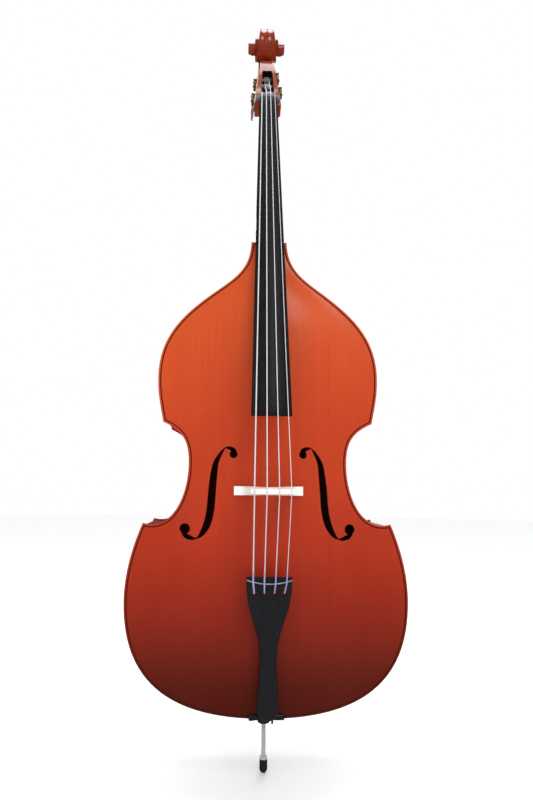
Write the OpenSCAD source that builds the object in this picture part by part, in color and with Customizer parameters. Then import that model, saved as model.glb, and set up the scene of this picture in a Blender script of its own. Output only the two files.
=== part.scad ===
// Double bass, three-quarter size, standing upright on its endpin.
// Origin: the point where the endpin tip meets the floor.
// +Z runs up the instrument, the carved top faces -Y, the bass side is at -X.

/* [Body] */
// Length of the body from bottom edge to neck joint
body_len = 1127; // [1110:1:1140]
// Half width of the lower bout
lower_half = 331.5; // [325:0.5:338]
// Half width of the waist
waist_half = 187.4; // [182:0.2:192]
// Half width of the upper bout
upper_half = 264; // [258:0.5:270]
// Distance between the two plates, the width of the ribs
rib_w = 200; // [180:1:220]
// Rise of the top above its edge
top_arch = 28; // [20:1:34]
// Rise of the back above its edge
back_arch = 22; // [16:1:28]
// Slope of the back toward the neck, mm per mm
back_slope = 0.12; // [0:0.01:0.15]

/* [Plates] */
// Thickness of the plates at the edge
edge_t = 6; // [5:0.5:8]
// How far the plates stand out past the ribs
overhang = 4.5; // [3:0.5:6]
// Thickness of a rib
rib_t = 2.5; // [2:0.1:3]
// Distance of the purfling from the edge
purfling_in = 6; // [5:0.5:7]
// Width of the purfling
purfling_w = 3; // [2:0.5:3.5]

/* [Neck and strings] */
// Width of the fingerboard at the nut
board_nut_w = 46; // [44:1:50]
// Width of the fingerboard at its lower end
board_end_w = 90; // [86:1:94]
// Length of the fingerboard
board_len = 872; // [855:1:885]
// Backward tilt of the pegbox, degrees
head_tilt = 23; // [18:1:26]
// Spread of the four strings at the nut
nut_spread = 34; // [31:1:36]
// Spread of the four strings at the bridge
bridge_spread = 77; // [74:1:84]

/* [Endpin] */
// Length of rod and tip that shows below the collar
rod_show = 118; // [110:1:130]
// Radius of the rod
rod_r = 5; // [4:0.5:5]

/* [Hidden] */
$fn = 48;
// Play round a shaft
run_gap = 0.05;

wood = "#b8431f";
dark_wood = "#1c1a1c";
pale_wood = "#e6c79a";
steel = "#b9bcc4";
brass = "#b59a5c";
rubber = "#141414";

// ---- heights and depths ----
// Half the width of the ribs, and the crest of the plates' edge
half_d = rib_w / 2;
edge_y = half_d + edge_t;
collar_z = rod_show;
base_z = collar_z + 45.5;
neck_z = base_z + body_len;
nut_z = neck_z + 426.5;
nut_y = -43;
bridge_z = base_z + 518;
bridge_y = -291;
// Forward slope of the fingerboard, mm per mm, and its thickness
board_slope = 0.2315;
board_t = 20;
// Depth of the purfling's groove, of the channel inside it, and of the edge's chamfer
groove_d = 1.5;
channel_d = 1;
chamfer = 1.5;

// ---- curve helpers ----
function polar(k, a) = k * [cos(a), sin(a)];
function bezier(p, a, b, q, t) = pow(1 - t, 3) * p + 3 * pow(1 - t, 2) * t * a
    + 3 * (1 - t) * t * t * b + pow(t, 3) * q;
// Curve from p (heading a0, pull k0) to q (heading a1, pull k1), without its last point
function arc_run(p, a0, k0, q, a1, k1, n) =
    [for (i = [0:n - 1]) bezier(p, p + polar(k0, a0), q - polar(k1, a1), q, i / n)];
function unit(v) = v / norm(v);
function left_normal(v) = [-v.y, v.x] / norm(v);
function mix(a, b, t) = a + (b - a) * t;
function ease(t) = (1 - cos(180 * t)) / 2;
function clamp(v) = min(1, max(0, v));

// ---- body outline, right half, from the bottom centre to the neck ----
bottom_pt = [0, 0];
lower_pt = [lower_half, 265];
lower_corner = [lower_half - 39.5, 441];
waist_pt = [waist_half, 580];
upper_corner = [upper_half - 14.5, 679.5];
upper_pt = [upper_half, 787];
shoulder_pt = [127, 1002];
neck_pt = [43.5, body_len];
run_bottom = arc_run(bottom_pt, 0, 202, lower_pt, 90, 197, 11);
run_lower = arc_run(lower_pt, 90, 60, lower_corner, 113, 59, 5);
run_waist_low = arc_run(lower_corner, 195, 78, waist_pt, 90, 64, 9);
run_waist_up = arc_run(waist_pt, 90, 54, upper_corner, 24, 52, 6);
run_upper = arc_run(upper_corner, 79, 47, upper_pt, 90, 42, 4);
// The back starts to slope here
slope_z = run_upper[2].y;
run_shoulder = arc_run(upper_pt, 90, 97, shoulder_pt, 143.8, 106, 8);
run_neck = arc_run(shoulder_pt, 143.8, 64, neck_pt, 92, 64, 7);
half_line = concat(run_bottom, run_lower, run_waist_low, run_waist_up, run_upper,
    run_shoulder, run_neck, [neck_pt, [0, body_len]]);
half_n = len(half_line) - 1;
full_n = 2 * half_n;
full_line = concat(half_line, [for (i = [half_n - 1:-1:1]) [-half_line[i].x, half_line[i].y]]);
i_lower = len(run_bottom) + len(run_lower);
i_upper = i_lower + len(run_waist_low) + len(run_waist_up);

function edge_normal(i) = left_normal(full_line[(i + 1) % full_n] - full_line[i]);
mitres = [for (i = [0:full_n - 1])
    let (a = edge_normal((i + full_n - 1) % full_n), b = edge_normal(i)) (a + b) / (1 + a * b)];
// The outline moved inward by d
function inset(d) = [for (i = [0:full_n - 1]) full_line[i] + d * mitres[i]];
line_rib_out = inset(overhang);
line_rib_in = inset(overhang + rib_t);
line_lining = inset(overhang + rib_t + 6);
// The arching starts here
line_margin = inset(16);

// ---- arching of the plates ----
half_w_low = [for (p = run_bottom) [p.y, max(p.x, 1)]];
half_w_top = [for (p = concat(run_shoulder, run_neck, [neck_pt])) [p.y, p.x]];
function arch_half(z) = z < lower_pt.y ? lookup(z, half_w_low)
    : z < waist_pt.y ? mix(lower_half, waist_half, ease((z - lower_pt.y) / (waist_pt.y - lower_pt.y)))
    : z < upper_pt.y ? mix(waist_half, upper_half, ease((z - waist_pt.y) / (upper_pt.y - waist_pt.y)))
    : lookup(z, half_w_top);
function cross_rise(m) = ease(pow(clamp((m - 0.05) / 0.95), 0.8));
function end_rise(z) = ease(pow(clamp((min(z, body_len - z) - 12) / 230), 0.65));
// Rise above the edge at p = [x, height above the bottom of the body]
function rise(p, arch) = arch * cross_rise(1 - abs(p.x) / arch_half(p.y)) * end_rise(p.y);
function outer_y(p, arch) = edge_y - channel_d + rise(p, arch);
function inner_y(p, arch) = half_d + max(0, rise(p, arch) - 2);
function bend(z) = back_slope * max(0, z - slope_z);
// The margin line drawn in toward the middle by the share s
function drawn_in(s) = [for (p = line_margin) mix(p, [0, 150 + p.y * 830 / body_len], s)];

// ---- solids from rings of points ----
function side_faces(m, k, closed) = [for (r = [0:closed ? k - 1 : k - 2], i = [0:m - 1])
    let (a = r * m, b = ((r + 1) % k) * m, j = (i + 1) % m) [a + i, b + i, b + j, a + j]];
// A cap across a ring that is symmetric left to right
function zip_cap(m) = [for (i = [0:m / 2 - 1])
    i == 0 ? [0, 1, m - 1] : i == m / 2 - 1 ? [i, i + 1, i + 2] : [i, i + 1, m - i - 1, m - i]];
function flipped(faces) = [for (f = faces) [for (i = [len(f) - 1:-1:0]) f[i]]];
function raised(faces, n) = [for (f = faces) [for (v = f) v + n]];

// Skin over rings; each ring runs anticlockwise seen from the last ring's side
module skin(rings, closed = false, zip = false) {
    m = len(rings[0]);
    k = len(rings);
    cap = zip ? zip_cap(m) : [[for (i = [0:m - 1]) i]];
    ends = closed ? [] : concat(cap, flipped(raised(cap, (k - 1) * m)));
    polyhedron(points = [for (r = rings) each r], faces = concat(side_faces(m, k, closed), ends),
        convexity = 8);
}

// Keeps carved shapes as one facetted skin
module carved() {
    resize([0, 0, 0]) children();
}

// Round cord through route points
module sweep(route, r, sides = 8) {
    n = len(route);
    function way(i) = unit(route[min(n - 1, i + 1)] - route[max(0, i - 1)]);
    function ring(p, w) = let (u = unit(cross(w, abs(w.x) > 0.9 ? [0, 0, 1] : [1, 0, 0])), v = cross(w, u))
        [for (k = [0:sides - 1]) let (a = k * 360 / sides) p + r * (cos(a) * u + sin(a) * v)];
    skin([for (i = [0:n - 1]) ring(route[i], way(i))]);
}

// ---- plates ----
// Rings of points across the outside and the inside, as shares of the way to the middle
shares_out = [0.1, 0.22, 0.35, 0.5, 0.66, 0.82, 0.94];
shares_in = [0.04, 0.18, 0.35, 0.55, 0.75, 0.94];
function put(line, y_of, bent) = [for (p = line) [p.x, -y_of(p) + (bent ? bend(p.y) : 0), p.y + base_z]];

line_groove_out = inset(purfling_in);
line_groove_in = inset(purfling_in + purfling_w);
groove_floor = edge_y - groove_d;
function flat(y) = function (p) y;

module plate(arch, bent) {
    outer = function (p) outer_y(p, arch);
    inner = function (p) inner_y(p, arch);
    skin(concat(
        [for (i = [len(shares_in) - 1:-1:0]) put(drawn_in(shares_in[i]), inner, bent)],
        [put(full_line, flat(half_d), bent), put(full_line, flat(edge_y - chamfer), bent)],
        [put(inset(chamfer), flat(edge_y), bent), put(line_groove_out, flat(edge_y), bent)],
        [put(line_groove_out, flat(groove_floor), bent), put(line_groove_in, flat(groove_floor), bent)],
        [put(line_groove_in, outer, bent), put(line_margin, outer, bent)],
        [for (s = shares_out) put(drawn_in(s), outer, bent)]), zip = true);
}

module purfling(arch, bent) {
    outer = function (p) outer_y(p, arch);
    skin([put(line_groove_out, flat(groove_floor), bent), put(line_groove_out, flat(edge_y), bent),
        put(line_groove_in, outer, bent), put(line_groove_in, flat(groove_floor), bent)], closed = true);
}

// Sound hole, right side: an S-shaped stem between two round eyes
f_upper_eye = [81.6, 603];
f_lower_eye = [193.6, 428.9];
f_line = concat(
    arc_run([88, 609], 95, 5, [98, 620], 0, 6, 4),
    arc_run([98, 620], 0, 14, [123, 580], -82, 18, 7),
    arc_run([123, 580], -82, 45, [138.6, 449], -84, 45, 6),
    arc_run([138.6, 449], -84, 26, [168, 403], 0, 16, 7),
    arc_run([168, 403], 0, 8, [187, 421], 75, 7, 4), [[187, 421]]);
f_widths = [[0, 5], [4, 6], [10, 11], [13, 19], [16, 15], [20, 9], [23, 6], [27, 5]];
module f_hole() {
    n = len(f_line);
    function side(i, s) = f_line[i] + s * lookup(i, f_widths) / 2
        * left_normal(f_line[min(n - 1, i + 1)] - f_line[max(0, i - 1)]);
    polygon(concat([for (i = [0:n - 1]) side(i, 1)], [for (i = [n - 1:-1:0]) side(i, -1)]));
    translate(f_upper_eye) circle(r = 9.2, $fn = 20);
    translate(f_lower_eye) circle(r = 12.4, $fn = 20);
}

// Draws a flat shape on the front plane and pushes it back from y0 to y1
module through_y(y0, y1) {
    translate([0, y1, base_z]) rotate([90, 0, 0]) linear_extrude(y1 - y0) children();
}

// Saddle: half its length, and its lower and upper faces from the body's bottom edge
saddle_half = 41;
saddle_low = -1;
saddle_high = 11;

module top_plate() {
    color(wood) carved() difference() {
        plate(top_arch, false);
        for (m = [0, 1]) mirror([m, 0, 0]) through_y(-160, -90) f_hole();
        saddle_notch();
    }
}

module saddle_notch() {
    through_y(-130, -half_d + 1) translate([-saddle_half, saddle_low - 5])
        square([2 * saddle_half, saddle_high - saddle_low + 5]);
}

module back_plate() {
    color(wood) mirror([0, 1, 0]) plate(back_arch, true);
}

module top_purfling() {
    color(dark_wood) carved() difference() {
        purfling(top_arch, false);
        saddle_notch();
    }
}

module back_purfling() {
    color(dark_wood) mirror([0, 1, 0]) purfling(back_arch, true);
}

// ---- ribs, blocks and linings ----
// Space between the plates, seen from the side
module side_space(front, back, front_bend = 0) {
    back_bend = back > 0 ? bend(body_len) : 0;
    rotate([90, 0, 90]) translate([0, base_z, -400]) linear_extrude(800)
        polygon([[front, 0], [back, 0], [back, slope_z], [back - back_bend, body_len],
            [front - front_bend, body_len], [front, slope_z]]);
}

module strip(outer, inner, i0, i1) {
    through_y(-half_d, half_d) polygon(concat([for (i = [i0:i1]) outer[i]],
        [for (i = [i1:-1:i0]) inner[i]]));
}

// The neck's tenon, which sits in the upper rib and the neck block
tenon_half = 20;
tenon_low = 1075;
module tenon() {
    translate([-tenon_half, -half_d + 6, base_z + tenon_low])
        cube([2 * tenon_half, 130, body_len - tenon_low]);
}

module rib(i0, i1) {
    color(wood) intersection() {
        strip(line_rib_out, line_rib_in, i0, i1);
        side_space(-half_d, half_d);
    }
}

module rib_lower_left() {
    mirror([1, 0, 0]) rib_lower_right();
}

module rib_lower_right() {
    difference() {
        rib(0, i_lower);
        translate([0, 0, base_z]) cylinder(r = collar_r + run_gap, h = 30, center = true);
    }
}

module rib_waist_left() {
    mirror([1, 0, 0]) rib_waist_right();
}

module rib_waist_right() {
    rib(i_lower, i_upper);
}

module rib_upper_left() {
    mirror([1, 0, 0]) rib_upper_right();
}

module rib_upper_right() {
    difference() {
        rib(i_upper, half_n);
        tenon();
    }
}

module corner_blocks(i) {
    color(pale_wood) for (m = [0, 1]) mirror([m, 0, 0])
        through_y(-half_d, half_d) polygon([for (j = [i - 2:i + 3]) line_rib_in[j]]);
}

module lower_corner_blocks() {
    corner_blocks(i_lower);
}

module upper_corner_blocks() {
    corner_blocks(i_upper - 1);
}

module neck_block() {
    color(pale_wood) difference() {
        intersection() {
            translate([-36, -half_d, base_z + 1040]) cube([72, rib_w, 80]);
            side_space(-half_d, half_d);
        }
        tenon();
    }
}

// The end block reaches out to this point of the outline
end_i = 4;
module end_block() {
    line = line_rib_in;
    color(pale_wood) difference() {
        through_y(-half_d, half_d) polygon(concat([for (i = [0:end_i]) line[i]],
            [[line[end_i].x, 66], [-line[end_i].x, 66]],
            [for (i = [end_i:-1:1]) [-line[i].x, line[i].y]]));
        translate([0, 0, base_z]) cylinder(r = collar_r + run_gap, h = 200, center = true);
    }
}

// Three strips a side, between the blocks
lining_runs = [[end_i + 1, i_lower - 2], [i_lower + 3, i_upper - 3], [i_upper + 2, half_n - 5]];
module linings(front, back, front_bend) {
    color(pale_wood) for (m = [0, 1], r = lining_runs) mirror([m, 0, 0]) intersection() {
        strip(line_rib_in, line_lining, r[0], r[1]);
        side_space(front, back, front_bend);
    }
}

module top_linings() {
    linings(-half_d, -half_d + 16, 0);
}

module back_linings() {
    linings(half_d - 16, half_d, bend(body_len));
}

// ---- inside: bass bar and sound post ----
bar_x = -48;
bar_low = 250;
bar_high = 850;
module bass_bar() {
    steps = 14;
    function depth(t) = 4 + 22 * sin(180 * t);
    color(pale_wood) skin([for (i = [0:steps]) let (t = i / steps, z = mix(bar_low, bar_high, t),
        y0 = -inner_y([bar_x - 9, z], top_arch) + 1, y1 = -inner_y([bar_x + 9, z], top_arch) + 1)
        [[bar_x - 9, y0, z + base_z], [bar_x + 9, y1, z + base_z],
         [bar_x + 9, max(y0, y1) + depth(t), z + base_z], [bar_x - 9, max(y0, y1) + depth(t), z + base_z]]]);
}

post_at = [58, 490];
post_r = 9;
module sound_post() {
    function around(a) = post_at + post_r * [cos(a), sin(a)];
    color(pale_wood) skin([
        [for (a = [0:15]) let (p = around(a * 22.5)) [p.x, inner_y(p, back_arch) - 0.3, p.y + base_z]],
        [for (a = [0:15]) let (p = around(a * 22.5)) [p.x, -inner_y(p, top_arch) + 0.3, p.y + base_z]]]);
}

// ---- neck, fingerboard and nut ----
function neck_face(z) = nut_y + board_t + 1 - board_slope * (nut_z - z);
// [height above the neck joint, half width in front, half width behind, depth of the wood]
neck_cuts = [[0, 33, 25, 172], [3, 33, 25, 158], [9, 33, 25.5, 128], [18, 33, 26, 88], [30, 33, 27, 58],
    [46, 32.5, 28, 40], [70, 32, 28.5, 31], [120, 31, 27.5, 28], [421, 23, 21, 25]];
module neck() {
    function cut(c) = let (z = neck_z + c[0], y = neck_face(z)) concat([[-c[1], y, z], [c[1], y, z]],
        [for (a = [7:-1:0]) let (t = a * 180 / 7) [-c[2] * cos(t), y + c[3] * (0.42 + 0.58 * sin(t)), z]]);
    color(wood) carved() {
        difference() {
            skin([for (c = neck_cuts) cut(c)]);
            head_frame() translate([-50, -50, box_low - 0.02]) cube(100);
        }
        translate([-38, -half_d, neck_z - overhang]) cube([76, 150, overhang]);
        tenon();
    }
}

module fingerboard() {
    end_z = nut_z - board_len;
    function section(z, w, sag) = let (y = nut_y - board_slope * (nut_z - z), s = w / 2)
        concat([[-s, y + board_t + 0.6, z], [s, y + board_t + 0.6, z]],
            [for (i = [0:8]) let (u = 1 - i / 4) [s * u, y + sag * u * u, z]]);
    color(dark_wood) skin([section(end_z, board_end_w, 13), section(nut_z, board_nut_w, 4.5)]);
}

nut_half = 32;
module nut() {
    color(dark_wood) translate([0, 0, nut_z + 0.2]) linear_extrude(9)
        polygon(concat([[-nut_half, nut_y + 23], [nut_half, nut_y + 23]],
            [for (i = [0:8]) let (u = 1 - i / 4) [nut_half * u, nut_y + 0.6 + 11 * u * u]]));
}

// ---- head: pegbox and scroll ----
// Taper of each cheek in degrees, half width at the nut, and depth of the rollers behind the front
cheek_taper = 5.4;
cheek_half = 34.5;
box_axis = 22;
// Half width of the throat under the scroll
throat_half = 18.2;
// Lower end of the pegbox, along the head
box_low = -9;
function cheek_x(s) = cheek_half - s * tan(cheek_taper);
// Half width of the hollow of the pegbox
function hollow_x(s) = 19.5 - 0.05 * s;
module head_frame() {
    translate([0, nut_y + 23, nut_z + 1]) rotate([-head_tilt, 0, 0]) children();
}
// The eye: the middle of the scroll, its radius and half its length across
eye_at = [0, 4, 250];
eye_r = 14.4;
eye_half = 51.5;
// Along the spiral from the back of the head, degrees: radius and half width
scroll_r = [[-40, 63], [0, 58], [60, 54], [150, 50], [240, 42], [330, 34], [420, 30.5], [510, 27.5],
    [600, 24], [680, 19]];
scroll_half = [[-40, 21], [0, 20], [60, 18.7], [150, 18.7], [240, 25.5], [330, 30.6], [420, 31],
    [510, 31.5], [600, 35.5], [680, 39]];
// Half a turn of the spiral from the angle a0, solid down to the eye
module scroll_half_turn(a0) {
    skin([for (a = [a0:20:a0 + 180])
        let (r = lookup(a, scroll_r), w = lookup(a, scroll_half), c = [0, cos(a), sin(a)])
        [[-w, 0, 0] + 5 * c, [w, 0, 0] + 5 * c, [w, 0, 0] + r * c, [-w, 0, 0] + r * c]]);
}

// The pegbox's hollow, seen from the side and pushed out to both cheeks
module pegbox_hollow() {
    intersection() {
        rotate([90, 0, 90]) linear_extrude(60, center = true)
            polygon([[-25, 9], [38, 9], [40, 60], [38, 120], [32, 146], [14, 146], [-6, 125], [-25, 110]]);
        skin([for (s = [0, 160]) [[-hollow_x(s), -30, s], [hollow_x(s), -30, s],
            [hollow_x(s), 50, s], [-hollow_x(s), 50, s]]]);
    }
}

module head() {
    // [place along the head, front, back]
    box_cuts = [[box_low, 4, 42], [0, 0, 47], [60, -3, 50], [120, -8, 49], [150, -9, 49], [172, -6, 49.8],
        [196, 8, 50], [212, 24, 53], [228, 38, 58]];
    function frame_cut(c, x) = [[-x, c[1], c[0]], [x, c[1], c[0]], [x, c[2], c[0]], [-x, c[2], c[0]]];
    color(wood) head_frame() carved() difference() {
        union() {
            skin([for (c = box_cuts) frame_cut(c, max(throat_half, cheek_x(c[0])))]);
            for (a0 = [-40:180:500]) translate(eye_at) scroll_half_turn(a0);
            translate(eye_at) rotate([0, 90, 0]) cylinder(r = eye_r, h = 2 * eye_half, center = true);
        }
        pegbox_hollow();
        for (t = tuners) on_cheek(t) rotate([0, 90, 0])
            cylinder(r = bushing_r + 0.2, h = 150, center = true, $fn = 32);
    }
}

// ---- strings ----
// [string radius, place along the head, side of the pegbox, place of the string across the pegbox]
tuners = [[1.5, 34, -1, -12], [1.25, 100, -1, -6.5], [1.05, 132, 1, 4.5], [0.85, 66, 1, 9]];
barrel_r = 6;
winding_gap = 0.3;
// Place of string i across a set that is w wide
function spread(i, w) = w * (i / 3 - 0.5);
// Height of the bridge's curved top at x
function bridge_crest(x) = bridge_y + 10 * pow(x / 42, 2);
// Point of the head frame in the body frame
function from_head(p) = [p.x,
    nut_y + 23 + p.y * cos(head_tilt) + p.z * sin(head_tilt),
    nut_z + 1 - p.y * sin(head_tilt) + p.z * cos(head_tilt)];
// Upper end of the tailpiece, its fret, and the holes that hold the strings' balls
tail_top = 494;
tail_y = -186;
fret_z = 483;
ball_z = 458;
function ball_x(i) = spread(i, bridge_spread) * 0.86;
module string(i) {
    r = tuners[i][0];
    s = tuners[i][1];
    px = tuners[i][3];
    bx = spread(i, bridge_spread);
    nx = spread(i, nut_spread);
    drop = abs(nx) > 10 ? 3.3 : 0;
    top = bridge_crest(bx) - r - 0.1;
    reach = barrel_r + r + winding_gap;
    color(steel) sweep([
        [ball_x(i), tail_y + 3, ball_z], [bx * 0.9, tail_y - 10, ball_z + 10],
        [bx * 0.95, tail_y - 16 - r, fret_z], [bx, top, bridge_z - 5], [bx, top, bridge_z + 5],
        [nx, nut_y - 1.2 - r + drop, nut_z], [nx, nut_y - r + drop, nut_z + 9.5 + r],
        from_head([px, box_axis - reach, s - 3]), from_head([px, box_axis - reach, s + 1])], r);
}

module string_e() { string(0); }
module string_a() { string(1); }
module string_d() { string(2); }
module string_g() { string(3); }

module string_balls() {
    color(brass) for (i = [0:3]) translate([ball_x(i), tail_y + 8, ball_z - 1]) sphere(r = 3.4);
}

// Turns of string wound on a roller
module winding(i) {
    t = tuners[i];
    pitch = (2 * t[0] + 0.25) * (t[3] > 0 ? -1 : 1);
    color(steel) on_roller(t) for (k = [1:5]) translate([0, 0, t[2] * (t[3] + k * pitch) - cheek_x(t[1])])
        rotate_extrude() translate([barrel_r + t[0] + 0.02, 0]) circle(r = t[0], $fn = 16);
}

module winding_e() { winding(0); }
module winding_a() { winding(1); }
module winding_d() { winding(2); }
module winding_g() { winding(3); }

// ---- tuning machines ----
plate_t = 2.5;
// Distance of the gear and worm from the cheek, and of the worm from the roller
gear_x = 9.3;
worm_far = 18;
gear_teeth = 22;
gear_pitch_r = 12.3;
gear_t = 5;
square_w = 6;
worm_lead = 2 * PI * gear_pitch_r / gear_teeth;
journal_r = 4.5;
shaft_r = 3;
bushing_r = 6.4;

// Frame of a tuning machine: x points out of the cheek, z along it, y backward
module on_cheek(t) {
    translate([t[2] * cheek_x(t[1]), box_axis, t[1]]) mirror([t[2] < 0 ? 1 : 0, 0, 0])
        rotate([0, -cheek_taper, 0]) children();
}
// Frame of a roller: z points out of the cheek along the roller
module on_roller(t) {
    head_frame() on_cheek(t) rotate([0, 90, 0]) children();
}

module roller(i) {
    far = -2 * cheek_x(tuners[i][1]) + 4;
    color(steel) on_roller(tuners[i]) {
        translate([0, 0, far]) cylinder(r = journal_r, h = gear_x - 3 - far);
        translate([0, 0, far + 5]) cylinder(r = barrel_r, h = -far - 12);
        translate([-square_w / 2, -square_w / 2, gear_x - 3]) cube([square_w, square_w, 8]);
    }
}
module roller_e() { roller(0); }
module roller_a() { roller(1); }
module roller_d() { roller(2); }
module roller_g() { roller(3); }

module gear(i) {
    step = 360 / gear_teeth;
    function tooth(k) = [for (p = [[11.2, -0.34], [13, -0.15], [13, 0.15], [11.2, 0.34]])
        let (a = (k + p[1]) * step) p[0] * [cos(a), sin(a)]];
    color(brass) on_roller(tuners[i]) translate([0, 0, gear_x - gear_t / 2]) difference() {
        linear_extrude(gear_t) rotate(180) polygon([for (k = [0:gear_teeth - 1]) each tooth(k)]);
        translate([-square_w / 2, -square_w / 2, -1]) cube([square_w, square_w, gear_t + 2]);
    }
}
module gear_e() { gear(0); }
module gear_a() { gear(1); }
module gear_d() { gear(2); }
module gear_g() { gear(3); }

// Worm thread wound on the core along z
module worm_thread() {
    sides = 12;
    turns = 3;
    steps = sides * turns;
    root_r = 4.45;
    function at(k, r, dz) = let (a = k * 360 / sides) [r * cos(a), r * sin(a),
        (k / sides - turns / 2) * worm_lead + dz];
    skin([for (k = [0:steps]) let (tip_r = root_r + 0.2 + 1.6 * min(1, min(k, steps - k) / 4))
        [at(k, root_r, -0.85), at(k, root_r, 0.85), at(k, tip_r, 0.4), at(k, tip_r, -0.4)]]);
}

// Shaft, worm and butterfly wings, along z from the worm outward
module key(i) {
    core_half = 7.3;
    shaft_low = -12.6;
    wing_z = 52;
    wing_r = 11;
    color(steel) head_frame() on_cheek(tuners[i]) translate([gear_x, 0, worm_far]) rotate([-90, 0, 0]) {
        translate([0, 0, shaft_low]) cylinder(r = shaft_r, h = 50 - shaft_low);
        translate([0, 0, -core_half]) cylinder(r = 4.2, h = 2 * core_half);
        rotate(90) worm_thread();
        translate([0, 0, wing_z - 22]) cylinder(r1 = shaft_r, r2 = 5, h = 12);
        translate([0, 0, wing_z - 12]) cylinder(r1 = 5, r2 = 3.4, h = 22);
        for (m = [-1, 1]) translate([0, m * 9.5, wing_z]) rotate([0, 90, 0])
            cylinder(r = wing_r, h = 5, center = true);
    }
}
module key_e() { key(0); }
module key_a() { key(1); }
module key_d() { key(2); }
module key_g() { key(3); }

// Screws of a plate: [along the cheek, across it]
plate_holes = [[-23, -9], [-23, 9], [31, -9], [31, 9]];
module tuner_plates() {
    color(brass) head_frame() for (t = tuners) on_cheek(t) difference() {
        union() {
            translate([0.2, -14, -28]) cube([plate_t, 28, 64]);
            for (y = [-12, 7.7]) translate([0.2, y, worm_far - 5]) cube([gear_x + 4.3, 4.3, 10]);
        }
        rotate([0, 90, 0]) cylinder(r = 6.8, h = 20, center = true);
        translate([gear_x, 0, worm_far]) rotate([90, 0, 0])
            cylinder(r = shaft_r + run_gap, h = 60, center = true);
        for (h = plate_holes) translate([0, h[1], h[0]]) rotate([0, 90, 0])
            cylinder(r = 1.6, h = 20, center = true);
    }
}

module tuner_bushings() {
    color(brass) for (t = tuners) on_roller(t) for (z = [-6, -2 * cheek_x(t[1]) + 2])
        translate([0, 0, z]) difference() {
            cylinder(r = bushing_r, h = z == -6 ? 8 : 5);
            translate([0, 0, -1]) cylinder(r = journal_r + run_gap, h = 20);
        }
}

module plate_screws() {
    color(steel) head_frame() for (t = tuners) on_cheek(t) for (h = plate_holes)
        translate([0, h[1], h[0]]) rotate([0, 90, 0]) {
            translate([0, 0, plate_t + 0.25]) cylinder(r1 = 3, r2 = 2.2, h = 1.2);
            translate([0, 0, 0.1]) cylinder(r = 1.5, h = plate_t + 0.3);
        }
}

// ---- bridge ----
bridge_half = 80;
bridge_foot_in = 38;
// Top of the arch between the feet, narrowest place of the side, and the crest's end
bridge_arch = [0, -176];
bridge_waist = [51, -196];
crest_end = [bridge_spread / 2 + 7, -268];
// The bridge seen from the end of the body: x across, y forward
module bridge_face() {
    function foot(x) = -(outer_y([x, bridge_z - base_z], top_arch) + 0.25);
    arch = arc_run([bridge_foot_in, foot(bridge_foot_in) - 14], 200, 20, bridge_arch, 180, 22, 6);
    crest = [crest_end.x, spread(3, bridge_spread), 26, spread(2, bridge_spread), 0];
    half = concat([bridge_arch], [for (i = [len(arch) - 1:-1:0]) arch[i]],
        [for (x = [bridge_foot_in:7:bridge_half]) [x, foot(x)]],
        arc_run([bridge_half, foot(bridge_half) - 12], 190, 26, bridge_waist, 270, 26, 6),
        arc_run(bridge_waist, 270, 26, crest_end, 270, 24, 5), [for (x = crest) [x, bridge_crest(x)]]);
    difference() {
        polygon(concat(half, [for (i = [len(half) - 2:-1:1]) [-half[i].x, half[i].y]]));
        translate([0, -214]) circle(r = 11);
        translate([0, -226]) square([10, 16], center = true);
        for (m = [-1, 1]) translate([m * 38, -206]) circle(r = 9);
    }
}

// Thinned from the feet to the crest on both faces
module bridge() {
    foot_t = 22;
    crest_t = 9;
    foot_y = -118;
    lean = atan((foot_t - crest_t) / 2 / 170);
    color(pale_wood) difference() {
        translate([0, 0, bridge_z - foot_t / 2]) linear_extrude(foot_t) bridge_face();
        for (m = [0, 1]) translate([0, 0, bridge_z]) mirror([0, 0, m]) translate([-200, foot_y, foot_t / 2])
            rotate([lean, 0, 0]) translate([0, -200, 0]) cube([400, 200, 60]);
    }
}

// ---- tailpiece, saddle and tail wire ----
module saddle() {
    color(dark_wood) through_y(-edge_y - 5, -half_d) translate([-saddle_half, saddle_low])
        square([2 * saddle_half, saddle_high - saddle_low]);
}

// [height, half width, thickness]
tail_cuts = [[167.5, 6, 7], [171, 15, 12], [184, 21.9, 17], [206, 23.8, 19], [241, 22.4, 20],
    [273, 19.6, 20], [315, 19.4, 20], [358, 24.5, 20], [393, 34.6, 18], [425, 44.5, 16],
    [460, 50, 14], [tail_top, 51.5, 13]];
// Front of the tailpiece from its lower end's depth at the saddle to its upper end's
function tail_face(z) = mix(-129, tail_y, (z - 170) / (tail_top - 170));
// Bores for the two legs of the tail wire
wire_bore = [11, tail_face(185) - 3];
module tailpiece() {
    function cut(c) = let (y = tail_face(c[0])) concat(
        [[-c[1], y + 1, c[0]], [-c[1] * 0.8, y + 6, c[0]], [c[1] * 0.8, y + 6, c[0]], [c[1], y + 1, c[0]]],
        [for (a = [1:6]) let (t = a * 180 / 7) [c[1] * cos(t), y - (c[2] - 6) * sin(t), c[0]]]);
    color(dark_wood) carved() difference() {
        skin([for (c = tail_cuts) cut(c)]);
        for (i = [0:3]) translate([ball_x(i), -230, ball_z]) rotate([-90, 0, 0]) {
            cylinder(r = 5, h = 80, $fn = 24);
            translate([-1.7, -16, 0]) cube([3.4, 16, 80]);
        }
        for (m = [-1, 1]) translate([m * wire_bore.x, wire_bore.y, 150]) cylinder(r = 2.8, h = 50, $fn = 20);
    }
}

module tail_fret() {
    n = 10;
    color(pale_wood) sweep([for (i = [0:n]) let (u = i / n * 2 - 1)
        [u * 49, tail_face(fret_z) - 1 - 11 * sqrt(1 - 0.96 * u * u), fret_z]], 1.4);
}

collar_r = 14;
// Height at which the wire loops round the collar, and the loop's radius
groove_z = base_z - 10;
wrap_r = 17.2;
wire_r = 2;
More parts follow.
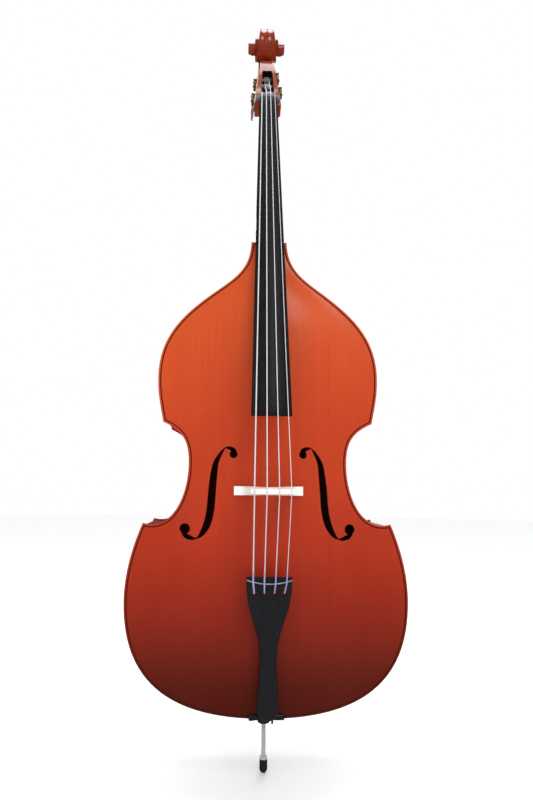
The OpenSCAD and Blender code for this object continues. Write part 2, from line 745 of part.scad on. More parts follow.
// One leg, from the tailpiece over the saddle and under the body to the collar
function wire_leg(m) = [[m * wire_bore.x, wire_bore.y, 195], [m * wire_bore.x, wire_bore.y, 165],
    [m * 12, -120, 160.5], [m * 13, -114, 159], [m * 14, -104, 157], [m * 16.6, -60, 155.5],
    [m * wrap_r, -20, groove_z]];
module tail_wire() {
    wrap = [for (a = [0:30:180]) [wrap_r * cos(a), wrap_r * sin(a), groove_z]];
    left = wire_leg(-1);
    color(steel) sweep(concat(wire_leg(1), wrap, [for (i = [len(left) - 1:-1:0]) left[i]]), wire_r);
}

// ---- endpin ----
module endpin_collar() {
    color(dark_wood) difference() {
        union() {
            translate([0, 0, groove_z - 3]) cylinder(r = collar_r, h = 82);
            translate([0, 0, base_z - 1.5]) cylinder(r = 22, h = 5);
            translate([0, 0, collar_z]) cylinder(r1 = 14.5, r2 = 20, h = groove_z - 3 - collar_z);
        }
        translate([0, 0, collar_z - 5]) cylinder(r = rod_r + run_gap, h = 200);
        translate([-11, 0, screw_z]) rotate([0, 90, 0])
            cylinder(r = screw_r + run_gap, h = 40, center = true);
    }
}

rod_len = 390;
tip_h = 38;
module endpin_rod() {
    color(steel) difference() {
        translate([0, 0, tip_h - 14]) cylinder(r = rod_r, h = rod_len);
        for (k = [0:8]) translate([0, 0, 62 + 35 * k]) rotate_extrude()
            polygon([[rod_r + 1, -1.6], [rod_r - 0.9, 0], [rod_r + 1, 1.6]]);
    }
}

module endpin_ferrule() {
    color(steel) translate([0, 0, tip_h - 6]) difference() {
        cylinder(r1 = 9.6, r2 = 8.6, h = 7);
        translate([0, 0, -1]) cylinder(r = rod_r, h = 9);
    }
}

module endpin_tip() {
    color(rubber) difference() {
        rotate_extrude() polygon(concat([[0, 0], [4, 0]],
            [for (a = [-60:15:0]) [9.4 * cos(a) + 0.1, 9.4 + 9.4 * sin(a)]],
            [[9.5, tip_h - 6.1], [0, tip_h - 6.1]]));
        translate([0, 0, tip_h - 14]) cylinder(r = rod_r, h = 30);
    }
}

screw_z = collar_z + 8;
screw_r = 3;
module thumb_screw() {
    color(dark_wood) translate([0, 0, screw_z]) rotate([0, -90, 0]) {
        translate([0, 0, rod_r + 0.4]) cylinder(r = screw_r, h = 18);
        translate([0, 0, 20]) cylinder(r = 5, h = 6);
        translate([0, 0, 25]) linear_extrude(12) hull() for (m = [-1, 1]) translate([0, 7 * m])
            circle(r = 3.5, $fn = 24);
    }
}

top_plate();
back_plate();
top_purfling();
back_purfling();
rib_lower_left();
rib_lower_right();
rib_waist_left();
rib_waist_right();
rib_upper_left();
rib_upper_right();
lower_corner_blocks();
upper_corner_blocks();
neck_block();
end_block();
top_linings();
back_linings();
bass_bar();
sound_post();
neck();
head();
fingerboard();
nut();
bridge();
saddle();
tailpiece();
tail_fret();
tail_wire();
endpin_collar();
endpin_rod();
endpin_ferrule();
endpin_tip();
thumb_screw();
string_e();
string_a();
string_d();
string_g();
string_balls();
winding_e();
winding_a();
winding_d();
winding_g();
roller_e();
roller_a();
roller_d();
roller_g();
gear_e();
gear_a();
gear_d();
gear_g();
key_e();
key_a();
key_d();
key_g();
tuner_plates();
tuner_bushings();
plate_screws();
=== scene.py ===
"""Double bass: looks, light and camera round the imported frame. Shapes are millimetres until mesh_object."""
import math

import bmesh
import bpy
import numpy as np
from mathutils import Matrix, Vector


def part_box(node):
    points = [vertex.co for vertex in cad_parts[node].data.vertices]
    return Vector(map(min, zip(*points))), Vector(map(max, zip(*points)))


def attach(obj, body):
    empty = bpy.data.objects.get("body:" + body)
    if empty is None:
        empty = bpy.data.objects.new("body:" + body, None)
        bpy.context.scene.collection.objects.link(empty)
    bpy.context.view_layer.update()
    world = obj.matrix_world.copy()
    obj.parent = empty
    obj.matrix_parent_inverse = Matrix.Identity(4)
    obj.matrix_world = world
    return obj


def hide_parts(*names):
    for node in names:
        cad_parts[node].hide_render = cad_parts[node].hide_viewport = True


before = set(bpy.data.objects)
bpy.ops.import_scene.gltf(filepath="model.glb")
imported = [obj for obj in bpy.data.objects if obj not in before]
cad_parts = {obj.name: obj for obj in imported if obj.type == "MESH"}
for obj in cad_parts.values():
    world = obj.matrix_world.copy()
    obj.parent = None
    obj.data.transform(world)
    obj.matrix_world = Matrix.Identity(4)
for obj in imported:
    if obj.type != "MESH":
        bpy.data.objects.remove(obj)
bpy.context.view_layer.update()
scene = bpy.context.scene
MM = 0.001


def node_box(name):
    """A node's lowest and highest corners in millimetres."""
    low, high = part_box(name)
    return np.array(low) / MM, np.array(high) / MM


# ---------------------------------------------------------------- design sizes
BODY_LEN = 1127
LOWER_PT, WAIST_PT, UPPER_PT = (331.5, 265), (187.4, 580), (264, 787)
LOWER_CORNER, UPPER_CORNER = (292, 441), (249.5, 679.5)
SHOULDER_PT, NECK_PT = (127, 1002), (43.5, BODY_LEN)
EDGE_T, OVERHANG, RIB_T, MARGIN = 6, 4.5, 2.5, 16
TOP_ARCH, BACK_ARCH, CHANNEL = 28, 22, 1
BACK_SLOPE = 0.12
BASE_Z = node_box("back_plate")[0][2]
EDGE_Y = -node_box("rib_lower_left")[0][1] + EDGE_T
HALF_D = EDGE_Y - EDGE_T
NECK_Z = BASE_Z + BODY_LEN
NUT_Z, NUT_Y = node_box("nut")[0][2] - 0.2, -43
BOARD_SLOPE, BOARD_T = 0.2315, 20
BOARD_WIDTHS, BOARD_CROWNS, BOARD_SCOOP = (90, 46), (13, 4.5), 7
BOARD_LEN = NUT_Z - node_box("fingerboard")[0][2]
BRIDGE_Z, BRIDGE_Y = BASE_Z + 518, -291
BRIDGE_HALF, BRIDGE_FOOT, BRIDGE_LOW_Y, BRIDGE_THICK = 80, 42, -118, (11, 4.5)
TAIL_LOW, TAIL_TOP, TAIL_LOW_Y, TAIL_Y = 170, 494, -129, -186
HOLE_Z, SLIT_TOP, HOLE_SPREAD = 458, 474, 0.86
FRET_Z, FRET_HALF, FRET_BOW, FRET_CROWN = 480, 49.5, 7, 11
NUT_SPREAD, BRIDGE_SPREAD = 34, 77
HEAD_TILT = math.radians(23)
CHEEK_HALF, CHEEK_TAPER, THROAT_HALF = 34.5, math.tan(math.radians(5.4)), 18.2
BOX_LOW, EYE, EYE_R, EYE_HALF = -9, (0, 4, 250), 14.4, 51.5
NUT_HALF, NUT_TOP, NUT_CROWN, OUTER_DROP = 32, 9, 11, 3.3
NOTCH_DEPTH, NOTCH_HALF = 0.9, 1.2
SILK_END, SILK_T = 520.0, 0.45


def mix(a, b, share):
    return a + (b - a) * share


def string_x(i, spread):
    """Place across of string i in a set of four with this spread."""
    return spread * (i / 3 - 0.5)


# ---------------------------------------------------------------- mesh helpers
def finish_mesh(obj, sharp=35):
    """Outward normals, smooth faces, and sharp edges past an angle in degrees."""
    work = bmesh.new()
    work.from_mesh(obj.data)
    bmesh.ops.remove_doubles(work, verts=work.verts, dist=1e-6)
    bmesh.ops.recalc_face_normals(work, faces=work.faces)
    work.to_mesh(obj.data)
    work.free()
    obj.data.shade_smooth()
    obj.data.set_sharp_from_angle(angle=math.radians(sharp))


def mesh_object(name, points, faces, material, sharp=35):
    """A new object from millimetre points."""
    mesh = bpy.data.meshes.new(name)
    mesh.from_pydata([tuple(float(c) * MM for c in p) for p in points], [], faces)
    mesh.materials.append(material)
    obj = bpy.data.objects.new(name, mesh)
    scene.collection.objects.link(obj)
    finish_mesh(obj, sharp)
    return obj


def piece(obj, body, slot, *nodes):
    """Rides a body and hides the CAD nodes it stands for; the finish slot is not used."""
    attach(obj, body)
    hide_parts(*nodes)


def ring_faces(m, k, around=True, along=False):
    """Quads between k rings of m points, closed round each ring and, if asked, from last to first."""
    faces = []
    for r in range(k if along else k - 1):
        a, b = r * m, ((r + 1) % k) * m
        for i in range(m if around else m - 1):
            j = (i + 1) % m
            faces.append((a + i, b + i, b + j, a + j))
    return faces


def zip_cap(m, start):
    """Faces across a ring that is symmetric left to right."""
    half = m // 2
    faces = [(start, start + 1, start + m - 1)]
    faces += [(start + i, start + i + 1, start + m - i - 1, start + m - i) for i in range(1, half - 1)]
    faces.append((start + half - 1, start + half, start + half + 1))
    return faces


def skin(name, rings, material, caps="fan", along=False, sharp=35):
    """A closed or capped skin over rings of points."""
    m, k = len(rings[0]), len(rings)
    faces = ring_faces(m, k, True, along)
    if caps == "zip":
        faces += zip_cap(m, 0) + zip_cap(m, (k - 1) * m)
    elif caps == "fan" and not along:
        faces += [tuple(range(m)), tuple(range((k - 1) * m, k * m))]
    return mesh_object(name, [p for r in rings for p in r], faces, material, sharp)


def ribbon(name, rings, material):
    """An open strip over rows of points."""
    faces = ring_faces(len(rings[0]), len(rings), around=False)
    return mesh_object(name, [p for r in rings for p in r], faces, material)


def mesh_box(name, low, high, material):
    corners = [(x, y, z) for x in (low[0], high[0]) for y in (low[1], high[1]) for z in (low[2], high[2])]
    faces = [(0, 1, 3, 2), (4, 6, 7, 5), (0, 4, 5, 1), (2, 3, 7, 6), (0, 2, 6, 4), (1, 5, 7, 3)]
    return mesh_object(name, corners, faces, material)


def join(obj, other):
    """Adds another object's mesh to this one."""
    work = bmesh.new()
    work.from_mesh(obj.data)
    work.from_mesh(other.data)
    work.to_mesh(obj.data)
    work.free()
    bpy.data.objects.remove(other)


def boolean(obj, cutter):
    """Cuts one object out of another and removes the cutter."""
    mod = obj.modifiers.new("cut", "BOOLEAN")
    mod.operation, mod.solver, mod.object = "DIFFERENCE", "MANIFOLD", cutter
    apply_modifiers(obj)
    bpy.data.objects.remove(cutter)


def apply_modifiers(obj):
    """Replaces the mesh with the evaluated one."""
    graph = bpy.context.evaluated_depsgraph_get()
    graph.update()
    mesh = bpy.data.meshes.new_from_object(obj.evaluated_get(graph), depsgraph=graph)
    obj.modifiers.clear()
    obj.data = mesh


def bevel(obj, width, segments=2, angle=35):
    """Rounds the sharp edges by a width in millimetres."""
    mod = obj.modifiers.new("bevel", "BEVEL")
    mod.width, mod.segments, mod.limit_method = width * MM, segments, "ANGLE"
    mod.angle_limit = math.radians(angle)
    apply_modifiers(obj)
    obj.data.shade_smooth()
    obj.data.set_sharp_from_angle(angle=math.radians(50))


def bezier_run(p, a0, k0, q, a1, k1, n):
    """Curve from p, heading a0 with pull k0, to q, heading a1 with pull k1, without its last point."""
    p, q = np.array(p, float), np.array(q, float)
    a = p + k0 * np.array([math.cos(math.radians(a0)), math.sin(math.radians(a0))])
    b = q - k1 * np.array([math.cos(math.radians(a1)), math.sin(math.radians(a1))])
    t = (np.arange(n) / n)[:, None]
    return (1 - t) ** 3 * p + 3 * (1 - t) ** 2 * t * a + 3 * (1 - t) * t * t * b + t ** 3 * q


def ease(t):
    return (1 - np.cos(np.pi * t)) / 2


def smooth_path(points, per=8):
    """Catmull-Rom curve through points."""
    pts = np.array(points, float)
    pts = np.vstack([2 * pts[0] - pts[1], pts, 2 * pts[-1] - pts[-2]])
    out = []
    for i in range(1, len(pts) - 2):
        p0, p1, p2, p3 = pts[i - 1:i + 3]
        for t in np.arange(per) / per:
            out.append(0.5 * (2 * p1 + (p2 - p0) * t + (2 * p0 - 5 * p1 + 4 * p2 - p3) * t * t
                              + (3 * p1 - p0 - 3 * p2 + p3) * t ** 3))
    out.append(pts[-2])
    return np.array(out)


def tube_rings(route, radius, sides):
    """Rings of a round cord along route points."""
    route = np.array(route, float)
    rings, side = [], np.array([1.0, 0, 0])
    for i, p in enumerate(route):
        way = route[min(len(route) - 1, i + 1)] - route[max(0, i - 1)]
        way /= np.linalg.norm(way)
        side = side - way * side.dot(way)
        side /= np.linalg.norm(side)
        up = np.cross(way, side)
        rings.append([p + radius * (math.cos(a) * side + math.sin(a) * up)
                      for a in np.arange(sides) * 2 * math.pi / sides])
    return rings


# ---------------------------------------------------------------- materials
def new_material(name):
    """An empty node material with its shader and a small node-making helper."""
    mat = bpy.data.materials.new(name)
    mat.use_nodes = True
    tree = mat.node_tree
    shader = tree.nodes["Principled BSDF"]

    def add(kind, **values):
        made = tree.nodes.new(kind)
        for key, value in values.items():
            if hasattr(made, key):
                setattr(made, key, value)
            else:
                made.inputs[key.replace("_", " ")].default_value = value
        return made

    return mat, tree, shader, add


def wire(tree, out, into):
    tree.links.new(out, into)


def scaled_coords(tree, add, scale, mirror=False):
    """Object coordinates in metres, stretched by scale, and mirrored about the centre joint if asked."""
    coords = add("ShaderNodeTexCoord")
    out = coords.outputs["Object"]
    if mirror:
        split, join, flip = add("ShaderNodeSeparateXYZ"), add("ShaderNodeCombineXYZ"), add("ShaderNodeMath")
        flip.operation = "ABSOLUTE"
        wire(tree, out, split.inputs[0])
        wire(tree, split.outputs[0], flip.inputs[0])
        wire(tree, flip.outputs[0], join.inputs[0])
        wire(tree, split.outputs[1], join.inputs[1])
        wire(tree, split.outputs[2], join.inputs[2])
        out = join.outputs[0]
    mapping = add("ShaderNodeMapping")
    mapping.inputs["Scale"].default_value = scale
    wire(tree, out, mapping.inputs["Vector"])
    return mapping.outputs["Vector"]


def noise(tree, add, scale, detail=4.0, rough=0.5, distort=0.0, mirror=False):
    """Noise over stretched object coordinates."""
    made = add("ShaderNodeTexNoise")
    made.inputs["Scale"].default_value = 1.0
    made.inputs["Detail"].default_value = detail
    made.inputs["Roughness"].default_value = rough
    made.inputs["Distortion"].default_value = distort
    wire(tree, scaled_coords(tree, add, scale, mirror), made.inputs["Vector"])
    return made.outputs["Fac"]


def ramp(tree, add, fac, stops):
    """A colour ramp; stops are (place, colour)."""
    made = add("ShaderNodeValToRGB")
    elements = made.color_ramp.elements
    while len(elements) < len(stops):
        elements.new(0.5)
    for element, (place, colour) in zip(elements, stops):
        element.position = place
        element.color = (*colour, 1)
    wire(tree, fac, made.inputs["Fac"])
    return made.outputs["Color"]


def blend_colour(tree, add, mode, fac, a, b):
    """Mixes two colours; each value may be a socket or a constant."""
    made = add("ShaderNodeMix", data_type="RGBA", blend_type=mode)
    for value, socket in ((fac, made.inputs[0]), (a, made.inputs[6]), (b, made.inputs[7])):
        if isinstance(value, bpy.types.NodeSocket):
            wire(tree, value, socket)
        else:
            socket.default_value = value
    return made.outputs[2]


def add_bump(tree, add, shader, height, strength, distance):
    made = add("ShaderNodeBump")
    made.inputs["Strength"].default_value = strength
    made.inputs["Distance"].default_value = distance
    wire(tree, height, made.inputs["Height"])
    wire(tree, made.outputs["Normal"], shader.inputs["Normal"])


def grey(v):
    return (v, v, v)


def varnished_wood(name, base, flame=0.0, rings=0.1, with_painted_shade=True, coat=(0.35, 0.2)):
    """Orange-red varnish over grain along Z; if asked, painted shade darkens it toward the bottom of the
    body, standing in for the light falling off there.
    """
    mat, tree, shader, add = new_material(name)
    year = noise(tree, add, (190, 40, 0.9), 3, 0.55, 0.3, mirror=True)
    fibre = noise(tree, add, (1400, 900, 14), 4, 0.6, mirror=True)
    cloud = noise(tree, add, (5, 5, 3.2), 3, 0.5)
    colour = ramp(tree, add, year, [(0.3, tuple(c * (1 - rings) for c in base)),
                                    (0.7, tuple(c * (1 + rings) for c in base))])
    colour = blend_colour(tree, add, "MULTIPLY", 0.5, colour,
                          ramp(tree, add, fibre, [(0.25, grey(0.86)), (0.75, grey(1.0))]))
    colour = blend_colour(tree, add, "MULTIPLY", 1.0, colour,
                          ramp(tree, add, cloud, [(0.3, (0.88, 0.84, 0.86)), (0.7, (1.0, 1.0, 1.0))]))
    if flame:
        figure = noise(tree, add, (9, 9, 62), 3, 0.5, 0.6)
        stripes = ramp(tree, add, figure, [(0.36, (0.55, 0.42, 0.42)), (0.62, (1.0, 1.0, 1.0))])
        colour = blend_colour(tree, add, "MULTIPLY", flame, colour, stripes)
    # Painted shade: a tone ramp by height up the body darkens the colour toward the bottom.
    if with_painted_shade:
        coords, split = add("ShaderNodeTexCoord"), add("ShaderNodeSeparateXYZ")
        place = add("ShaderNodeMapRange")
        place.inputs["From Min"].default_value = BASE_Z * MM
        place.inputs["From Max"].default_value = NECK_Z * MM
        wire(tree, coords.outputs["Object"], split.inputs[0])
        wire(tree, split.outputs[2], place.inputs["Value"])
        painted_shade_tone = ramp(tree, add, place.outputs["Result"], PAINTED_SHADE)
        colour = blend_colour(tree, add, "MULTIPLY", 1.0, colour, painted_shade_tone)
    wire(tree, colour, shader.inputs["Base Color"])
    rough = add("ShaderNodeMapRange")
    rough.inputs["To Min"].default_value = 0.3
    rough.inputs["To Max"].default_value = 0.42
    wire(tree, cloud, rough.inputs["Value"])
    wire(tree, rough.outputs["Result"], shader.inputs["Roughness"])
    shader.inputs["Specular IOR Level"].default_value = 0.15
    shader.inputs["Coat Weight"].default_value, shader.inputs["Coat Roughness"].default_value = coat
    shader.inputs["Coat IOR"].default_value = 1.45
    add_bump(tree, add, shader, fibre, 0.12, 0.0002)
    return mat


# Painted shade: the varnish is darkened toward the bottom of the body, where the light falls off: place up
# the body and tone
PAINTED_SHADE = [(0.0, (0.13, 0.062, 0.02)), (0.06, (0.175, 0.088, 0.03)), (0.1, (0.235, 0.118, 0.05)),
         (0.165, (0.37, 0.175, 0.1)), (0.25, (0.54, 0.25, 0.24)), (0.34, (0.7, 0.37, 0.52)),
         (0.43, (0.76, 0.47, 0.62)), (0.5, (0.83, 0.57, 0.68)), (0.6, (0.89, 0.65, 0.8)),
         (0.7, (0.97, 0.84, 0.92)), (0.82, (1.0, 1.0, 1.0))]


def plain_wood(name, base, scale=(300, 300, 6), rough=0.6, level=0.4):
    """Unvarnished wood with fine grain along Z."""
    mat, tree, shader, add = new_material(name)
    grain = noise(tree, add, scale, 5, 0.6, 0.4)
    colour = ramp(tree, add, grain, [(0.3, tuple(c * 0.78 for c in base)), (0.7, base)])
    wire(tree, colour, shader.inputs["Base Color"])
    shader.inputs["Roughness"].default_value = rough
    shader.inputs["Specular IOR Level"].default_value = level
    add_bump(tree, add, shader, grain, 0.2, 0.0003)
    return mat


def ebony_wood(name, base=(0.007, 0.0065, 0.007), rough=0.4, streak=1.6, level=0.16):
    """Black oiled ebony with long pores and a satin sheen."""
    mat, tree, shader, add = new_material(name)
    pores = noise(tree, add, (900, 900, 16), 4, 0.65)
    streaks = noise(tree, add, (120, 120, 3), 3, 0.5, 0.3)
    colour = ramp(tree, add, streaks, [(0.35, base), (0.75, tuple(c * streak for c in base))])
    wire(tree, colour, shader.inputs["Base Color"])
    spread = add("ShaderNodeMapRange")
    spread.inputs["To Min"].default_value = rough - 0.06
    spread.inputs["To Max"].default_value = rough + 0.12
    wire(tree, pores, spread.inputs["Value"])
    wire(tree, spread.outputs["Result"], shader.inputs["Roughness"])
    shader.inputs["Specular IOR Level"].default_value = level
    add_bump(tree, add, shader, pores, 0.18, 0.0002)
    return mat


def metal(name, base, rough, wear=0.25, brushed=False, metallic=1.0):
    """Metal with cloudy tarnish, fine scratches and a slightly uneven polish."""
    mat, tree, shader, add = new_material(name)
    cloud = noise(tree, add, (60, 60, 60), 4, 0.6)
    colour = ramp(tree, add, cloud, [(0.3, tuple(c * (1 - wear) for c in base)), (0.65, base)])
    wire(tree, colour, shader.inputs["Base Color"])
    shader.inputs["Metallic"].default_value = metallic
    scratch = noise(tree, add, (2500, 2500, 60) if brushed else (700, 700, 900), 3, 0.6)
    spread = add("ShaderNodeMapRange")
    spread.inputs["To Min"].default_value = rough * 0.75
    spread.inputs["To Max"].default_value = rough * 1.5
    wire(tree, scratch, spread.inputs["Value"])
    wire(tree, spread.outputs["Result"], shader.inputs["Roughness"])
    add_bump(tree, add, shader, scratch, 0.1, 0.0001)
    return mat


def moulded(name, base, rough, strength=0.2):
    """Rubber or plastic with a fine moulded grain."""
    mat, tree, shader, add = new_material(name)
    speck = noise(tree, add, (900, 900, 900), 3, 0.6)
    colour = ramp(tree, add, speck, [(0.3, tuple(c * 0.8 for c in base)), (0.7, base)])
    wire(tree, colour, shader.inputs["Base Color"])
    shader.inputs["Roughness"].default_value = rough
    add_bump(tree, add, shader, speck, strength, 0.0002)
    return mat


def wound_string(name, base, rough, metallic, pitch=1400):
    """Fine flat winding along the string, with silk or steel colour."""
    mat, tree, shader, add = new_material(name)
    turns = add("ShaderNodeTexWave", wave_type="BANDS", bands_direction="Z")
    turns.inputs["Scale"].default_value = 1.0
    turns.inputs["Distortion"].default_value = 0.0
    wire(tree, scaled_coords(tree, add, (1, 1, pitch)), turns.inputs["Vector"])
    colour = ramp(tree, add, turns.outputs["Fac"], [(0.0, tuple(c * 0.72 for c in base)), (0.5, base)])
    wire(tree, colour, shader.inputs["Base Color"])
    shader.inputs["Metallic"].default_value = metallic
    shader.inputs["Roughness"].default_value = rough
    add_bump(tree, add, shader, turns.outputs["Fac"], 0.25, 0.0002)
    return mat


# The spruce and maple varnishes carry painted shade toward the bottom of the body; the head varnish has none.
SPRUCE = varnished_wood("spruce varnish painted shade", (0.56, 0.069, 0.0095), rings=0.05)
MAPLE = varnished_wood("maple varnish painted shade", (0.42, 0.05, 0.009), flame=0.55, rings=0.05)
HEAD_MAPLE = varnished_wood("head varnish", (0.26, 0.029, 0.007), flame=0.4, rings=0.05, with_painted_shade=False,
                            coat=(1.0, 0.06))
CUT_EDGE = plain_wood("cut edge of the top", (0.42, 0.15, 0.06))
INSIDE_WOOD = plain_wood("bare spruce", (0.62, 0.43, 0.24))
PURFLING = plain_wood("purfling", (0.05, 0.007, 0.004), level=0.05)
EBONY = ebony_wood("ebony")
TAIL_EBONY = ebony_wood("tailpiece ebony", (0.009, 0.009, 0.012), rough=0.26, streak=1.3, level=0.6)
# The nut's grey-blue base colour is a painted reflection of the bright surroundings on black ebony.
NUT_EBONY_PAINTED_REFLECTION = ebony_wood("nut ebony painted reflection", (0.13, 0.145, 0.175), rough=0.3, streak=1.3)
HOLLOW_WOOD = plain_wood("pegbox inside", (0.05, 0.016, 0.008), rough=0.7)
BRIDGE_MAPLE = plain_wood("bridge maple", (0.92, 0.89, 0.84), scale=(60, 60, 500), rough=0.5)
FRET = moulded("tail fret", (0.26, 0.27, 0.36), 0.3)
STEEL = metal("endpin steel", (0.74, 0.74, 0.82), 0.25, brushed=True, metallic=0.4)
NICKEL = metal("nickel plate", (0.66, 0.65, 0.64), 0.2, metallic=0.75)
BRASS = metal("lacquered brass", (0.42, 0.34, 0.2), 0.3, wear=0.5, metallic=0.8)
CABLE = metal("tail cable", (0.30, 0.30, 0.33), 0.4)
RUBBER = moulded("tip rubber", (0.012, 0.012, 0.012), 0.7)
PLASTIC = moulded("black plastic", (0.014, 0.014, 0.016), 0.38, strength=0.1)
STRING_STEEL = wound_string("string winding", (0.86, 0.84, 0.9), 0.38, metallic=0.35)
SILK = wound_string("string silk", (0.32, 0.32, 0.54), 0.65, pitch=2200, metallic=0.0)


# ---------------------------------------------------------------- outline and arching
# Every run of the outline has this many times its smallest number of points
DENSE = 4


def half_outline():
    """Right half of the body outline from the bottom centre to the top centre."""
    runs = [bezier_run((0, 0), 0, 202, LOWER_PT, 90, 197, 11 * DENSE),
            bezier_run(LOWER_PT, 90, 60, LOWER_CORNER, 113, 59, 5 * DENSE),
            bezier_run(LOWER_CORNER, 195, 78, WAIST_PT, 90, 64, 9 * DENSE),
            bezier_run(WAIST_PT, 90, 54, UPPER_CORNER, 24, 52, 6 * DENSE),
            bezier_run(UPPER_CORNER, 79, 47, UPPER_PT, 90, 42, 4 * DENSE),
            bezier_run(UPPER_PT, 90, 97, SHOULDER_PT, 143.8, 106, 8 * DENSE),
            bezier_run(SHOULDER_PT, 143.8, 64, NECK_PT, 92, 64, 7 * DENSE)]
    return runs, np.vstack(runs + [np.array([NECK_PT, (0, BODY_LEN)])])


# The outline's runs, right half and whole loop, and the indices of its lower and upper right corners
RUNS, HALF = half_outline()
HALF_N = len(HALF) - 1
FULL = np.vstack([HALF, HALF[HALF_N - 1:0:-1] * [-1, 1]])
I_LOWER = len(RUNS[0]) + len(RUNS[1])
I_UPPER = I_LOWER + len(RUNS[2]) + len(RUNS[3])


def mitre_vectors():
    """At each point of the outline, the move that shifts both its edges inward by one."""
    edge = np.roll(FULL, -1, axis=0) - FULL
    normal = np.stack([-edge[:, 1], edge[:, 0]], axis=1) / np.linalg.norm(edge, axis=1)[:, None]
    before = np.roll(normal, 1, axis=0)
    return (before + normal) / (1 + (before * normal).sum(axis=1))[:, None]


# The moves inward, the height where the back starts to slope, and the indices of the outline's six corners
MITRES = mitre_vectors()
SLOPE_Z = RUNS[4][2 * DENSE][1]
CORNERS = [sign * i for i in (I_LOWER, I_UPPER, HALF_N - 1) for sign in (1, -1)]


def side_of(way, points):
    """Which side of a direction each point lies on."""
    return way[0] * points[..., 1] - way[1] * points[..., 0]


def inset(d):
    """The outline moved inward by d; points that would pass a corner's bisector stop on it."""
    line = FULL + d * MITRES
    for c in CORNERS:
        way, tip = MITRES[c], FULL[c] + d * MITRES[c]
        for i in [c + k for k in range(-8, 9) if k]:
            i %= len(FULL)
            if side_of(way, FULL[i] - FULL[c]) * side_of(way, line[i] - FULL[c]) <= 0:
                line[i] = tip
    return line


def arch_half(z):
    """Half width that the cross arching follows."""
    low, top = RUNS[0], np.vstack([RUNS[5], RUNS[6], [NECK_PT]])
    blend_a, blend_b = [mix(a[0], b[0], ease((z - a[1]) / (b[1] - a[1])))
                        for a, b in ((LOWER_PT, WAIST_PT), (WAIST_PT, UPPER_PT))]
    return np.select([z < LOWER_PT[1], z < WAIST_PT[1], z < UPPER_PT[1]],
                     [np.interp(z, low[:, 1], np.maximum(low[:, 0], 1)), blend_a, blend_b],
                     np.interp(z, top[:, 1], top[:, 0]))


def rise(p, arch):
    """Rise above the edge at points [x, height above the bottom of the body]."""
    x, z = p[:, 0], p[:, 1]
    across = ease(np.clip((1 - np.abs(x) / arch_half(z) - 0.05) / 0.95, 0, 1) ** 0.8)
    along = ease(np.clip((np.minimum(z, BODY_LEN - z) - 12) / 230, 0, 1) ** 0.65)
    return arch * across * along


def bend(z):
    """How far forward the back slopes toward the neck."""
    return BACK_SLOPE * np.maximum(0, z - SLOPE_Z)


# Heights on the margin line and the heights on the centre joint that they are drawn to
MIDDLE = ((0, 441, 560, BODY_LEN), (150, 330, 540, 980))


def drawn_in(share):
    """The margin line drawn in toward the middle."""
    line = inset(MARGIN)
    middle = np.stack([np.zeros(len(line)), np.interp(line[:, 1], *MIDDLE)], axis=1)
    return mix(line, middle, share)


# Distance in from the edge and depth under the crest of the edge, from the rib side round to the channel
EDGE_ROUND = [(1.0, 6.0), (0.3, 5.2), (0.0, 4.0), (0.0, 2.4), (0.3, 1.2), (1.0, 0.4), (2.2, 0.05),
              (3.4, 0.0), (5.0, 0.25), (6.5, 0.65), (8.5, 0.95), (11.0, 1.05), (MARGIN, CHANNEL)]


def edge_drop(d):
    """Depth under the crest of the edge at a distance in from it, past the crest's outer side."""
    ds, drops = zip(*EDGE_ROUND[6:])
    return np.interp(d, ds, drops)


def edge_lift(line, d, arch):
    """The arching's rise near the edge, which fades out over the purfling."""
    return rise(line, arch) * min(1.0, max(0.0, (d - 6.5) / 2))


def place(line, depth, bent):
    """Body points on the front side, depth measured forward, then bent back toward the neck if asked."""
    y = (bend(line[:, 1]) if bent else np.zeros(len(line))) - depth
    return np.stack([line[:, 0], y, line[:, 1] + BASE_Z], axis=1)


def plate_rings(arch, bent):
    """Rings from the middle of a plate's inside, round its edge, to the middle of its outside."""
    rings = []
    for share in (0.94, 0.78, 0.6, 0.42, 0.26, 0.12, 0.03):
        line = drawn_in(share)
        rings.append(place(line, HALF_D + np.maximum(0, rise(line, arch) - 2), bent))
    for d, drop in EDGE_ROUND:
        line = inset(d)
        rings.append(place(line, EDGE_Y - drop + edge_lift(line, d, arch), bent))
    for share in np.linspace(0.03, 0.97, 26):
        line = drawn_in(share)
        rings.append(place(line, EDGE_Y - CHANNEL + rise(line, arch), bent))
    return rings


def mirrored_y(rings):
    """Front rings turned into back ones."""
    return [np.array(r) * [1, -1, 1] for r in rings]


PURFLING_IN = 4.4


def purfling_rings(arch, bent):
    """Rings of a strip let into the edge and just proud of it."""
    rings = []
    for across, proud in ((0, -0.3), (0.15, 0.06), (1.6, 0.1), (3.05, 0.06), (3.2, -0.3)):
        line = inset(PURFLING_IN + across)
        lift = edge_lift(line, PURFLING_IN + across, arch)
        rings.append(place(line, EDGE_Y - edge_drop(PURFLING_IN + across) + lift + proud, bent))
    return rings


